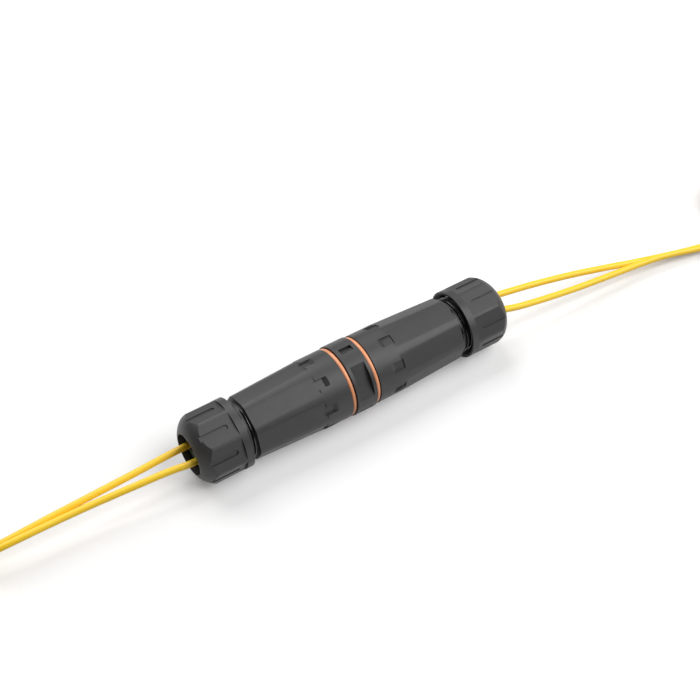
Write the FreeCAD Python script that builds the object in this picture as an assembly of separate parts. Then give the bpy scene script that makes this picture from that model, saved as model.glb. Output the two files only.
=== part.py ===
import FreeCAD
import Part

import math
import os

Vector = FreeCAD.Vector

# A sealed in-line coupler for two duplex fibre leads. It lies along X with its middle over the origin and the
# floor at z = 0. Everything is shaped about the X axis first, on the right-hand side, and lifted at the end.

# Driving dimensions in millimetres. Clock angles are in degrees from straight up, towards the front (-Y).

# Plugs: a push-pull grip round a frame that carries a sprung ceramic ferrule
plug_pitch = 8.4
grip_width = 9.0
grip_height = 7.4
grip_length = 25.6
grip_wall = 0.8
grip_travel = 1.5
grip_setback = 0.8
key_width = 2.1
key_height = 0.8
key_length = 8.0
frame_length = 16.2
frame_snout_share = 0.4
frame_side_gap = 0.2
frame_wall = 0.45
latch_arm = 0.6
latch_arm_width = 3.0
latch_length = 7.0
latch_hook = 0.8
latch_bite = 0.25
lug_length = 1.4
ferrule_diameter = 2.5
ferrule_length = 12.6
holder_wall = 0.4
holder_flange = 1.4
ferrule_travel = 1.7
spring_wire = 0.4
crimp_stop = 1.0
crimp_diameter = 3.6
crimp_length = 20.0
crimp_collar = 1.4
boot_neck = 3.0
boot_diameter = 6.1
boot_tip_diameter = 4.6
boot_plain = 4.6
boot_length = 22.0
boot_groove_count = 3
boot_groove_width = 0.9
boot_groove_depth = 0.5
boot_sides = 8

# Central coupling
ring_width = 9.0
ring_lip = 0.5
panel_count = 2
panel_width = 6.4
panel_depth = 1.9
panel_clock = 55.0
pocket_length = 5.5
pocket_breadth = 3.1
pocket_depth = 1.4
pocket_spacing = 60.0
web_thickness = 4.0
spigot_length = 11.0
spigot_wall = 0.95
front_thread_depth = 0.7
insert_plate = 1.4
sleeve_length = 11.4
sleeve_wall = 0.35
sleeve_slit = 0.4
tube_wall = 0.35
tube_lip = 0.4

# O-rings, squeezed between the ring and the housings
o_ring_gap = 2.0
o_ring_breadth = 3.3
o_ring_crown = 0.6

# Housings
housing_length = 40.5
housing_front_wall = 3.4
housing_rear_wall = 2.16
bore_back = 2.0
flat_count = 8
flat_setback = 11.2
flat_depth = 0.6
tongue_length = 4.8
tongue_width = 3.9
tongue_depth = 1.1
tongue_ramp = 1.9
left_housing_clock = 27.5
right_housing_clock = 12.0

# Rear thread, clamping fingers and cable seal
rear_thread_length = 11.0
rear_thread_depth = 0.8
finger_count = 20
finger_length = 10.0
finger_thickness = 1.5
finger_width = 1.0
finger_tip = 2.6
finger_end_gap = 0.25
finger_root = 0.8
seal_margin = 3.7
seal_step = 0.7
mouth_length = 7.8
mouth_flare = 1.75

# Gland nuts
nut_gap = 3.4
nut_wall = 1.55
nut_corner = 0.9
nut_collar = 3.0
nut_end_wall = 2.4
nut_end_flat = 0.6
nut_dome_steps = 2
nut_hole_diameter = 17.0
nut_cone = 1.8
nut_groove_width = 2.4
nut_groove_depth = 0.5
nut_groove_setback = 2.6
left_nut_clock = 22.5
right_nut_clock = 17.0

# Leads, the coils of their spare length and the ties
lead_diameter = 2.8
lead_straight = 1.65
coil_diameter = 30.0
coil_breadth = 6.0
coil_height = 16.0
coil_sides = 24
tie_width = 3.0
tie_thickness = 0.6
bend_share = 0.45

# Clearances
fit_gap = 0.1
slide_gap = 0.2
seat_gap = 0.05
thread_gap = 0.15
lead_gap = 0.05
bore_gap = 0.02

# Number of flat sides of small bores and of the leads, and of the ferrule's flange and the crimp
bore_sides = 8
hex_sides = 6

# How far a cutting shape reaches past what it cuts
overcut = 1.0

# Radii that follow from what sits inside what
side_offset = plug_pitch / 2
port_half_pitch = side_offset + grip_height / 2 + fit_gap
port_half_width = grip_width / 2 + fit_gap
spigot_radius = math.hypot(port_half_pitch, port_half_width) + spigot_wall
front_thread_radius = spigot_radius + front_thread_depth
o_ring_inner_radius = front_thread_radius + fit_gap
o_ring_outer_radius = o_ring_inner_radius + o_ring_breadth
ring_radius = o_ring_outer_radius + ring_lip
housing_bore_radius = front_thread_radius + thread_gap
housing_front_radius = housing_bore_radius + housing_front_wall
housing_rear_radius = housing_bore_radius + housing_rear_wall
lead_radius = lead_diameter / 2
seal_radius = side_offset + lead_radius + seal_margin
finger_inner_radius = seal_radius + slide_gap
finger_outer_radius = finger_inner_radius + finger_thickness
rear_thread_radius = finger_outer_radius + rear_thread_depth
nut_bore_radius = rear_thread_radius + thread_gap
nut_flat_radius = nut_bore_radius + nut_wall
nut_radius = nut_flat_radius + nut_corner
nut_hole_radius = nut_hole_diameter / 2
nut_dome = nut_radius - nut_hole_radius - nut_end_flat
axis_height = max(ring_radius, housing_front_radius, nut_radius)
coil_radius = coil_diameter / 2

# Stations along the axis, from the middle outwards
ring_face = ring_width / 2
housing_front = ring_face + o_ring_gap
spigot_end = ring_face + spigot_length
flat_start = housing_front + flat_setback
housing_rear = housing_front + housing_length
thread_end = housing_rear + rear_thread_length
finger_end = thread_end + finger_length
seal_end = finger_end - slide_gap
nut_open = housing_rear + nut_gap
nut_collar_end = nut_open + nut_collar
nut_inner_face = finger_end + finger_end_gap
nut_end = nut_inner_face + nut_end_wall
web_face = web_thickness / 2
plate_face = web_face + insert_plate
frame_front = plate_face + slide_gap
frame_rear = frame_front + frame_length
grip_front = frame_front + grip_setback
grip_rear = grip_front + grip_length
latch_end = plate_face + latch_length
tube_end = sleeve_length / 2 + tube_lip
boot_front = grip_rear + grip_travel + slide_gap
boot_end = boot_front + boot_length
crimp_end = frame_rear + crimp_length

# Cross-section of the plug frame and of what lies between it and the grip
grip_bore_width = grip_width / 2 - grip_wall
grip_bore_height = grip_height / 2 - grip_wall
frame_half_height = grip_bore_height - frame_side_gap
arm_outer = grip_bore_width - thread_gap
arm_inner = arm_outer - latch_arm
lug_top = arm_inner - seat_gap
frame_half_width = lug_top - latch_bite - thread_gap
frame_rear_half_width = arm_inner - thread_gap
ferrule_radius = ferrule_diameter / 2
sleeve_inner_radius = ferrule_radius + bore_gap
sleeve_outer_radius = sleeve_inner_radius + sleeve_wall
tube_inner_radius = sleeve_outer_radius + seat_gap
tube_outer_half = tube_inner_radius + tube_wall
chamber_half = min(frame_half_height, frame_rear_half_width) - frame_wall
holder_radius = ferrule_radius + bore_gap + holder_wall
flange_radius = (chamber_half - fit_gap) * math.cos(math.pi / hex_sides)
chamber_front = frame_front + frame_length * frame_snout_share
holder_front = chamber_front + seat_gap
spring_front = holder_front + holder_flange + seat_gap
stop_front = frame_rear - crimp_stop
crimp_radius = crimp_diameter / 2
crimp_corner_radius = crimp_radius / math.cos(math.pi / hex_sides)

# Routes of the leads, as (distance from the middle, y, height), chosen by hand. Each follows a straight run
# that the boot and the seal hold, and ends inside its coil.
straight_end = nut_end + lead_straight
left_routes = {
    "a": [(79.4, 4.2, 14.5), (92.0, 4.2, 13.6), (106.0, 4.3, 12.9), (122.0, 4.5, 12.0), (136.0, 4.8, 10.8),
          (148.0, 5.6, 8.9), (164.0, 9.0, 4.8), (182.0, 12.45, 2.1)],
    "b": [(79.4, -2.8, 14.7), (92.0, -1.5, 14.0), (106.0, 0.5, 12.6), (122.0, 1.5, 12.2), (136.0, 1.8, 12.1),
          (148.0, 2.7, 11.0), (164.0, 6.0, 6.3), (182.0, 9.5, 2.1)],
}
right_routes = {
    "a": [(79.4, 3.7, 13.7), (92.0, 2.8, 11.9), (110.0, 0.5, 9.5), (126.0, -2.2, 7.1), (142.0, -4.9, 4.2),
          (156.0, -7.5, 2.4), (170.0, -10.8, 1.6), (191.0, -15.4, 1.8), (213.0, -17.55, 2.1)],
    "b": [(79.4, -4.9, 12.7), (92.0, -5.7, 10.6), (110.0, -6.4, 7.8), (126.0, -7.1, 6.3), (142.0, -8.0, 5.4),
          (156.0, -9.7, 5.0), (170.0, -12.9, 3.6), (191.0, -18.0, 2.6), (213.0, -20.45, 2.1)],
}
coil_centres = {"left": Vector(-182.0, -4.0, 0), "right": Vector(213.0, -4.0, 0)}
tie_clocks = {"left": 90.0, "right": -90.0}

ORIGIN = Vector(0, 0, 0)
AXIS = Vector(1, 0, 0)
UP = Vector(0, 0, 1)


def turned(profile):
    """A solid of revolution about X from a closed outline of (x, radius) points."""
    points = [Vector(x, 0, r) for x, r in profile]
    return Part.Face(Part.makePolygon(points + points[:1])).revolve(ORIGIN, AXIS, 360)


def tube(start, end, outer, inner):
    return turned([(start, inner), (end, inner), (end, outer), (start, outer)])


def rod(start, end, radius, y=0.0):
    return Part.makeCylinder(radius, end - start, Vector(start, y, 0), AXIS)


def block(start, end, half_y, half_z, y=0.0, z=0.0):
    """A box along X, centred on the given y and z."""
    corner = Vector(start, y - half_y, z - half_z)
    return Part.makeBox(end - start, 2 * half_y, 2 * half_z, corner)


def prism(outline, half_y):
    """An outline of (x, z) points made solid on both sides of the XZ plane."""
    points = [Vector(x, -half_y, z) for x, z in outline]
    return Part.Face(Part.makePolygon(points + points[:1])).extrude(Vector(0, 2 * half_y, 0))


def polygon(x, inner_radius, sides, y=0.0):
    """The corners of a regular outline across the axis, by the radius of its flats, back to the first."""
    corner_radius = inner_radius / math.cos(math.pi / sides)
    points = []
    for step in range(sides + 1):
        angle = 2 * math.pi * (step + 0.5) / sides
        points.append(Vector(x, y + corner_radius * math.cos(angle), corner_radius * math.sin(angle)))
    return points


def polygon_bar(start, end, inner_radius, sides, y=0.0):
    """A bar along X with a regular outline."""
    face = Part.Face(Part.makePolygon(polygon(start, inner_radius, sides, y)))
    return face.extrude(Vector(end - start, 0, 0))


def polygon_funnel(start, end, start_radius, end_radius, sides, y=0.0):
    """A bar along X with a regular outline that widens from one end to the other."""
    near = polygon(start, start_radius, sides, y)
    far = polygon(end, end_radius, sides, y)
    outlines = [near, far]
    for step in range(sides):
        outlines.append([near[step], near[step + 1], far[step + 1], far[step], near[step]])
    faces = [Part.Face(Part.makePolygon(outline)) for outline in outlines]
    return Part.makeSolid(Part.makeShell(faces))


def faceted(profile, sides):
    """A ring about X from a closed outline of (x, radius) points, with flat sides in place of a round."""
    turn = 2 * math.pi / sides
    faces = []
    for (x, r), (next_x, next_r) in zip(profile, profile[1:] + profile[:1]):
        for step in range(sides):
            angles = (turn * step, turn * (step + 1))
            near = [Vector(x, r * math.sin(angle), r * math.cos(angle)) for angle in angles]
            far = [Vector(next_x, next_r * math.sin(angle), next_r * math.cos(angle)) for angle in angles]
            faces.append(Part.Face(Part.makePolygon([near[0], near[1], far[1], far[0], near[0]])))
    solid = Part.makeSolid(Part.makeShell(faces))
    if solid.Volume < 0:
        solid.reverse()
    return solid.removeSplitter()


def clocked(shape, angle):
    """A copy turned about the axis, from straight up towards the front."""
    copy = shape.copy()
    copy.rotate(ORIGIN, AXIS, angle)
    return copy


def ring_of(shape, count, first=0.0):
    return [clocked(shape, first + step * 360.0 / count) for step in range(count)]


def on_side(shape, side, clock=0.0):
    """A copy on the right side, or turned half round about the vertical for the left, then clocked."""
    copy = shape.copy()
    if side == "left":
        copy.rotate(ORIGIN, UP, 180)
    copy.rotate(ORIGIN, AXIS, clock)
    return copy


def make_coupling_body():
    """The moulded ring with a spigot on each side, and a web in the middle of its port.

    Round the ring are flat panels between thin lips, and on both sides of each a pocket that runs out.
    """
    half = [
        (spigot_end, 0),
        (spigot_end, spigot_radius),
        (ring_face, spigot_radius),
        (ring_face, ring_radius),
    ]
    body = turned(half + [(-x, r) for x, r in reversed(half)])
    port = block(web_face, spigot_end + overcut, port_half_pitch, port_half_width)
    for edge in (port_half_pitch, -port_half_pitch):
        slot_half = key_width / 2 + fit_gap
        key_slot = block(web_face, spigot_end + overcut, key_height + fit_gap, slot_half, y=edge)
        port = port.fuse(key_slot)
    cuts = [port, on_side(port, "left")]
    boss_half = tube_outer_half + fit_gap
    for y in (-side_offset, side_offset):
        cuts.append(block(-web_thickness, web_thickness, boss_half, boss_half, y))
    panel = block(-panel_width / 2, panel_width / 2, ring_radius, panel_depth, z=ring_radius)
    half_breadth = pocket_breadth / 2
    run_out = math.sqrt(ring_radius ** 2 - half_breadth ** 2)
    wedge = [
        (half_breadth, ring_radius - pocket_depth),
        (half_breadth, ring_radius + overcut),
        (-half_breadth, ring_radius + overcut),
        (-half_breadth, run_out),
    ]
    points = [Vector(-pocket_length / 2, y, z) for y, z in wedge]
    pocket = Part.Face(Part.makePolygon(points + points[:1])).extrude(Vector(pocket_length, 0, 0))
    cuts += ring_of(panel, panel_count, panel_clock)
    for spacing in (-pocket_spacing, pocket_spacing):
        cuts += ring_of(pocket, panel_count, panel_clock + spacing)
    return body.cut(cuts)


def make_adapter_insert():
    """A plate at the bottom of the port with two sleeve holders and a pair of latch arms round each."""
    plate = block(web_face, plate_face, port_half_pitch - fit_gap, port_half_width - fit_gap)
    pieces = []
    bores = []
    for y in (-side_offset, side_offset):
        pieces.append(block(seat_gap, tube_end, tube_outer_half, tube_outer_half, y))
        bores.append(polygon_bar(0, tube_end + overcut, tube_inner_radius, bore_sides, y))
        for side in (-1, 1):
            arm_middle = side * (arm_outer + arm_inner) / 2
            arm = block(plate_face, latch_end, latch_arm_width / 2, latch_arm / 2, y, arm_middle)
            hook_middle = side * (arm_outer + arm_inner - latch_bite) / 2
            hook_half = (latch_arm + latch_bite) / 2
            hook = block(latch_end - latch_hook, latch_end, latch_arm_width / 2, hook_half, y, hook_middle)
            pieces += [arm, hook]
    return plate.fuse(pieces).cut(bores).removeSplitter()


def make_alignment_sleeve():
    """A split ceramic tube in which two ferrules meet."""
    sleeve = tube(-sleeve_length / 2, sleeve_length / 2, sleeve_outer_radius, sleeve_inner_radius)
    slit = block(-sleeve_length, sleeve_length, sleeve_slit / 2, sleeve_outer_radius, z=sleeve_outer_radius)
    return sleeve.cut(slit)


def make_o_ring():
    """A rubber ring with a crowned section, squeezed to the gap between the ring and the housing."""
    inner_side = ring_face + seat_gap
    outer_side = housing_front - seat_gap
    middle = (inner_side + outer_side) / 2
    shoulder = o_ring_outer_radius - o_ring_crown
    return turned([
        (inner_side, o_ring_inner_radius),
        (outer_side, o_ring_inner_radius),
        (outer_side, shoulder),
        (middle, o_ring_outer_radius),
        (inner_side, shoulder),
    ])


def make_grip():
    """The blue push-pull sleeve, with a key and a window over each latch arm."""
    grip = block(grip_front, grip_rear, grip_height / 2, grip_width / 2)
    key = block(grip_front, grip_front + key_length, key_height, key_width / 2, y=grip_height / 2)
    bore = block(grip_front - overcut, grip_rear + overcut, grip_bore_height, grip_bore_width)
    window_half = latch_arm_width / 2 + slide_gap
    window_start = latch_end - 2 * latch_hook
    windows = block(window_start, latch_end + 2 * latch_hook, window_half, grip_width)
    return grip.fuse(key).cut([bore, windows])


def make_plug_frame():
    """The inner body of a plug: a snout with two latch lugs, then the chamber of the ferrule's spring."""
    shoulder = latch_end + slide_gap
    snout = block(frame_front, shoulder, frame_half_height, frame_half_width)
    lug_end = latch_end - latch_hook - slide_gap
    lugs = block(lug_end - lug_length, lug_end, latch_arm_width / 2, lug_top)
    rear = block(shoulder, frame_rear, frame_half_height, frame_rear_half_width)
    mouth_half = tube_outer_half + fit_gap
    mouth = block(frame_front - overcut, tube_end + slide_gap, mouth_half, mouth_half)
    bore = polygon_bar(frame_front, frame_rear, ferrule_radius + fit_gap, bore_sides)
    chamber = block(chamber_front, frame_rear + overcut, chamber_half, chamber_half)
    return snout.fuse([lugs, rear]).cut([mouth, bore, chamber])


def make_ferrule():
    """The ceramic pin that meets the opposite one in the middle of the sleeve."""
    return rod(seat_gap, seat_gap + ferrule_length, ferrule_radius)


def make_ferrule_holder():
    """The metal holder of the ferrule: a six-sided flange that sets its turn, and a tail in the spring."""
    end = stop_front - ferrule_travel
    flange = polygon_bar(holder_front, holder_front + holder_flange, flange_radius, hex_sides)
    tail = polygon_bar(holder_front, end, holder_radius, bore_sides)
    bore = polygon_bar(holder_front - overcut, end + overcut, ferrule_radius + bore_gap, bore_sides)
    return flange.fuse(tail).cut(bore)


def make_ferrule_spring():
    """The spring behind the flange, as a flat-sided tube of its outer shape."""
    end = stop_front - seat_gap
    inner_radius = holder_radius + bore_gap
    outer = polygon_bar(spring_front, end, inner_radius + spring_wire, bore_sides)
    return outer.cut(polygon_bar(spring_front - overcut, end + overcut, inner_radius, bore_sides))


def make_crimp_body():
    """The stop that closes the frame, with the six-sided crimp on the lead's strength yarn."""
    stop_half = chamber_half - seat_gap
    stop = block(stop_front, frame_rear, stop_half, stop_half)
    collar = block(frame_rear, frame_rear + crimp_collar, frame_half_height, frame_half_height)
    barrel = polygon_bar(frame_rear, crimp_end, crimp_radius, hex_sides)
    return stop.fuse([collar, barrel]).removeSplitter()


def make_boot():
    """The strain relief: a neck in the grip, a plain barrel and a grooved taper down to the lead."""
    neck_radius = grip_bore_height - slide_gap
    big = boot_diameter / 2
    tip = boot_tip_diameter / 2
    taper_start = boot_front + boot_plain
    step = (boot_end - taper_start) / (boot_groove_count + 1)
    outer = [
        (grip_rear - boot_neck, neck_radius),
        (boot_front, neck_radius),
        (boot_front, big),
        (taper_start, big),
    ]
    for index in range(boot_groove_count):
        middle = taper_start + step * (index + 1)
        radius = big + (tip - big) * (index + 1) / (boot_groove_count + 1)
        floor = radius - boot_groove_depth
        start = middle - boot_groove_width / 2
        end = middle + boot_groove_width / 2
        outer += [(start, radius), (start, floor), (end, floor), (end, radius)]
    outer.append((boot_end, tip))
    corner = 1 / math.cos(math.pi / boot_sides)
    bore = (lead_radius + fit_gap) * corner
    crimp_bore = (crimp_corner_radius + seat_gap) * corner
    inner = [
        (boot_end, bore),
        (crimp_end + fit_gap, bore),
        (crimp_end + fit_gap, crimp_bore),
        (grip_rear - boot_neck, crimp_bore),
    ]
    return faceted(outer + inner, boot_sides)


def make_housing():
    """The eight-sided tube with its rear thread and the crown of clamping fingers."""
    bore_end = housing_rear - bore_back
    waist_radius = seal_radius - seal_step
    outer = [
        (housing_front, housing_front_radius),
        (flat_start, housing_front_radius),
        (housing_rear, housing_rear_radius),
        (housing_rear, finger_outer_radius),
        (finger_end - finger_tip, finger_outer_radius),
        (finger_end, finger_outer_radius - finger_thickness / 2),
    ]
    inner = [
        (finger_end, finger_inner_radius),
        (thread_end - seat_gap, finger_inner_radius),
        (thread_end - seat_gap, waist_radius),
        (bore_end, waist_radius),
        (bore_end, housing_bore_radius),
        (housing_front, housing_bore_radius),
    ]
    reach = 2 * housing_front_radius
    beyond = housing_rear + finger_root
    taper = (housing_front_radius - housing_rear_radius) / (housing_rear - flat_start)
    front_flat = housing_front_radius - flat_depth
    rear_flat = front_flat - taper * (beyond - flat_start)
    flat = prism([
        (flat_start, front_flat),
        (beyond, rear_flat),
        (beyond, reach),
        (flat_start, reach),
    ], housing_front_radius * math.tan(math.pi / flat_count))
    tongue_floor = housing_front_radius - tongue_depth
    tongue = prism([
        (flat_start - tongue_length, housing_front_radius),
        (flat_start - tongue_length + tongue_ramp, tongue_floor),
        (flat_start + tongue_depth, tongue_floor),
        (flat_start + tongue_depth, reach),
        (flat_start - tongue_length, reach),
    ], tongue_width / 2)
    slot_width = 2 * math.pi * finger_outer_radius / finger_count - finger_width
    slot = prism([
        (thread_end + finger_root, finger_inner_radius / 2),
        (finger_end + finger_root, finger_inner_radius / 2),
        (finger_end + finger_root, reach),
        (thread_end + finger_root, reach),
    ], slot_width / 2)
    cuts = ring_of(flat, flat_count) + ring_of(tongue, flat_count) + ring_of(slot, finger_count)
    return turned(outer + inner).cut(cuts)


def make_cable_seal():
    """The rubber plug that the fingers press on the leads. Its holes widen outwards, so leads can lean."""
    hole_radius = lead_radius + lead_gap
    mouth_start = seal_end - mouth_length
    cuts = []
    for y in (-side_offset, side_offset):
        mouth_radius = hole_radius + mouth_flare
        cuts.append(polygon_funnel(mouth_start, seal_end, hole_radius, mouth_radius, bore_sides, y))
        cuts.append(polygon_bar(thread_end - overcut, mouth_start + overcut, hole_radius, bore_sides, y))
    return rod(thread_end, seal_end, seal_radius).cut(cuts)


def make_gland_nut():
    """The round-ended nut: a plain collar, eight flats with a groove on each, and the cable entry."""
    dome_start = nut_end - nut_dome
    dome_foot = nut_radius - nut_dome
    outline = [
        (nut_end, nut_hole_radius),
        (nut_inner_face, nut_hole_radius),
        (nut_inner_face, finger_outer_radius),
        (nut_inner_face - nut_cone, nut_bore_radius),
        (nut_open, nut_bore_radius),
        (nut_open, nut_radius),
    ]
    for step in range(nut_dome_steps + 1):
        angle = math.pi / 2 * step / nut_dome_steps
        outline.append((dome_start + nut_dome * math.sin(angle), dome_foot + nut_dome * math.cos(angle)))
    reach = 2 * nut_radius
    beyond = nut_end + overcut
    flat = prism([
        (nut_collar_end, nut_flat_radius),
        (beyond, nut_flat_radius),
        (beyond, reach),
        (nut_collar_end, reach),
    ], nut_radius * math.tan(math.pi / flat_count))
    head = nut_collar_end + nut_groove_setback
    half = nut_groove_width / 2
    groove_floor = nut_flat_radius - nut_groove_depth
    groove_outline = [
        (beyond, -half),
        (beyond, half),
        (head + half, half),
        (head, half / 2),
        (head, -half / 2),
        (head + half, -half),
    ]
    points = [Vector(x, y, groove_floor) for x, y in groove_outline]
    groove = Part.Face(Part.makePolygon(points + points[:1])).extrude(Vector(0, 0, reach))
    return turned(outline).cut(ring_of(flat, flat_count) + ring_of(groove, flat_count))


def lead_path(points):
    """Straight runs joined by tangent arcs, each as large as its two runs allow."""
    edges = []
    radii = []
    start = points[0]
    for before, corner, after in zip(points, points[1:], points[2:]):
        back = (before - corner).normalize()
        ahead = (after - corner).normalize()
        turn = math.pi - back.getAngle(ahead)
        reach = bend_share * min((before - corner).Length, (after - corner).Length)
        radius = reach / math.tan(turn / 2)
        enter = corner + back * reach
        leave = corner + ahead * reach
        inward = (back + ahead).normalize()
        crest = corner + inward * (radius / math.cos(turn / 2) - radius)
        edges += [Part.LineSegment(start, enter).toShape(), Part.Arc(enter, crest, leave).toShape()]
        radii.append(radius)
        start = leave
    edges.append(Part.LineSegment(start, points[-1]).toShape())
    return Part.Wire(edges), radii


def make_lead(name, sign, y, route):
    """One yellow lead from its plug to its coil, in its place above the floor."""
    points = [Vector(sign * x, y, axis_height) for x in (crimp_end, straight_end)]
    points += [Vector(sign * x, route_y, height) for x, route_y, height in route]
    path, radii = lead_path(points)
    corners = []
    for step in range(bore_sides + 1):
        angle = 2 * math.pi * step / bore_sides
        corners.append(points[0] + Vector(0, lead_radius * math.cos(angle), lead_radius * math.sin(angle)))
    section = Part.Face(Part.makePolygon(corners))
    lead = path.makePipe(section)
    share = lead.Volume / (section.Area * path.Length)
    print(name, "length", round(path.Length, 1), "volume share", round(share, 4))
    print("radii", [round(radius, 1) for radius in radii])
    return lead


def make_coil(side):
    """The outer shape of the spare turns of both leads, lying flat on its tie."""
    low = tie_thickness + fit_gap
    rims = []
    for radius in (coil_radius + coil_breadth / 2, coil_radius - coil_breadth / 2):
        steps = [2 * math.pi * step / coil_sides for step in range(coil_sides + 1)]
        points = [Vector(radius * math.cos(step), radius * math.sin(step), low) for step in steps]
        rims.append(Part.Face(Part.makePolygon(points)).extrude(Vector(0, 0, coil_height)))
    coil = rims[0].cut(rims[1])
    coil.translate(coil_centres[side])
    return coil


def make_tie(side):
    """A band round the turns of a coil."""
    gap = slide_gap
    half_breadth = coil_breadth / 2 + gap
    low = seat_gap
    high = coil_height + 2 * tie_thickness + 2 * fit_gap
    outer = block(-tie_width / 2, tie_width / 2, half_breadth + tie_thickness, high / 2, z=low + high / 2)
    inner_half = high / 2 - tie_thickness
    inner = block(-tie_width, tie_width, half_breadth, inner_half, z=low + high / 2)
    tie = outer.cut(inner)
    tie.translate(Vector(0, coil_radius, 0))
    tie.rotate(ORIGIN, UP, tie_clocks[side])
    tie.translate(coil_centres[side])
    return tie


def build():
    """Every piece by name, in its place."""
    pieces = {
        "coupling_body": make_coupling_body(),
    }
    sleeve = make_alignment_sleeve()
    insert = make_adapter_insert()
    o_ring = make_o_ring()
    housing = make_housing()
    seal = make_cable_seal()
    nut = make_gland_nut()
    plug = {
        "grip": make_grip(),
        "plug_frame": make_plug_frame(),
        "ferrule": make_ferrule(),
        "ferrule_holder": make_ferrule_holder(),
        "ferrule_spring": make_ferrule_spring(),
        "crimp_body": make_crimp_body(),
        "boot": make_boot(),
    }
    housing_clocks = {"left": left_housing_clock, "right": right_housing_clock}
    nut_clocks = {"left": left_nut_clock, "right": right_nut_clock}
    offsets = {"a": side_offset, "b": -side_offset}
    for letter, y in offsets.items():
        pieces[f"alignment_sleeve_{letter}"] = sleeve.translated(Vector(0, y, 0))
    for side in ("left", "right"):
        pieces[f"adapter_insert_{side}"] = on_side(insert, side)
        pieces[f"o_ring_{side}"] = on_side(o_ring, side)
        pieces[f"housing_{side}"] = on_side(housing, side, housing_clocks[side])
        pieces[f"cable_seal_{side}"] = on_side(seal, side)
        pieces[f"gland_nut_{side}"] = on_side(nut, side, nut_clocks[side])
        for letter, y in offsets.items():
            # The key of each grip faces away from the other plug of its pair.
            key_turn = 0 if (y > 0) == (side == "right") else 180
            for name, shape in plug.items():
                placed = on_side(shape, side, key_turn)
                pieces[f"{name}_{side}_{letter}"] = placed.translated(Vector(0, y, 0))
    for name, shape in pieces.items():
        pieces[name] = shape.translated(Vector(0, 0, axis_height))
    for side, sign, routes in (("left", -1, left_routes), ("right", 1, right_routes)):
        for letter, y in offsets.items():
            name = f"lead_{side}_{letter}"
            pieces[name] = make_lead(name, sign, y, routes[letter])
        pieces[f"coil_{side}"] = make_coil(side)
        pieces[f"tie_{side}"] = make_tie(side)
    return pieces


os.makedirs("parts", exist_ok=True)
for node, solid in build().items():
    solid.exportStep(f"parts/{node}.step")
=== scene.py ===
# %% [markdown]
# A sealed in-line coupler joins two pairs of fibre leads out of doors. Two tapered, eight-sided housings
# screw on to a ring in the middle, an orange O-ring seals each joint, and a round-ended nut at each end
# squeezes rubber on the leads. The engineering model of all this is loaded first and stays as it is. The
# lesson then dresses it: each step makes one kind of piece or one finish, and says why it is made that
# way.

import math

import bmesh
import bpy
from mathutils import Matrix, Vector


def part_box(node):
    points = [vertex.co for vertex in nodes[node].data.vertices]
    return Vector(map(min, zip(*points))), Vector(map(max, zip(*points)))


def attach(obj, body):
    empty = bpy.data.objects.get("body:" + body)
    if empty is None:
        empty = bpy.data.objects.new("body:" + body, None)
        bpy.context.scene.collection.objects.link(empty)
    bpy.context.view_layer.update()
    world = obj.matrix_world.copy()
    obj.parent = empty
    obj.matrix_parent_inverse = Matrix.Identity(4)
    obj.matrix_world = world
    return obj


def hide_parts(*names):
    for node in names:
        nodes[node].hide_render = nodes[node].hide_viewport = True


MM = 0.001
SIDES = {"left": -1, "right": 1}
LETTERS = {"a": 1, "b": -1}
PLUGS = [(side, letter) for side in SIDES for letter in LETTERS]
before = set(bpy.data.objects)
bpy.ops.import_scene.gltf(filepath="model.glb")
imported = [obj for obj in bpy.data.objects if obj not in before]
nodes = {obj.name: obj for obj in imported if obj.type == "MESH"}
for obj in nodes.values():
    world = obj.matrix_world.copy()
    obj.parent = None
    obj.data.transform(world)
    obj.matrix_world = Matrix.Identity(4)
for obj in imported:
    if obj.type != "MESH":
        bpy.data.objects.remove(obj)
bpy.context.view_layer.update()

# %% [markdown]
# All round pieces share one axis, which runs along X through the middle of the ring. Its height could be
# typed in, but then a change of the model would leave the pieces behind. So it is measured on the ring's
# solid, and later steps measure the other solids in the same way.

# %% Axis of the coupler
AXIS = Vector((1, 0, 0))
ring_low, ring_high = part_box("coupling_body")
axis_height = (ring_low.z + ring_high.z) / 2
axis_point = Vector((0, 0, axis_height))
print("axis", round(axis_height / MM, 2), "mm above the floor")

# %% [markdown]
# The camera stands where the photographer's stood. It could be placed by eye, but then a finish could not
# be compared with the photograph point by point. So its place was found by matching the rims of the
# O-rings, the ends of the housings and the outlines of the nuts.

# %% Camera
VIEW_AZIMUTH = math.radians(-33.015)
VIEW_ELEVATION = math.radians(48.418)
VIEW_DISTANCE = 580.4 * MM
VIEW_TARGET = axis_point + Vector((5.08, 5.98, 6.9)) * MM
PHOTO_WIDTH = 700
FOCAL_PIXELS = 1485
SENSOR_WIDTH = 36
NEAREST_SEEN = 10 * MM
view_back = Vector((
    math.sin(VIEW_AZIMUTH) * math.cos(VIEW_ELEVATION),
    -math.cos(VIEW_AZIMUTH) * math.cos(VIEW_ELEVATION),
    math.sin(VIEW_ELEVATION),
))
camera = bpy.data.objects.new("camera", bpy.data.cameras.new("camera"))
camera.data.sensor_width = SENSOR_WIDTH
camera.data.lens = SENSOR_WIDTH * FOCAL_PIXELS / PHOTO_WIDTH
camera.data.clip_start = NEAREST_SEEN
camera.location = VIEW_TARGET + view_back * VIEW_DISTANCE
camera.rotation_euler = (-view_back).to_track_quat("-Z", "Y").to_euler()
bpy.context.scene.collection.objects.link(camera)
bpy.context.scene.camera = camera
print("lens", round(camera.data.lens, 1), "mm")

# %% [markdown]
# A finish is a network of shader nodes. Each node could be made and linked line by line, but most of
# those lines would be plain arithmetic, which reads best as Python. So a small class wraps a socket, and
# its operators add the Math nodes.

# %% A value in a material


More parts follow.
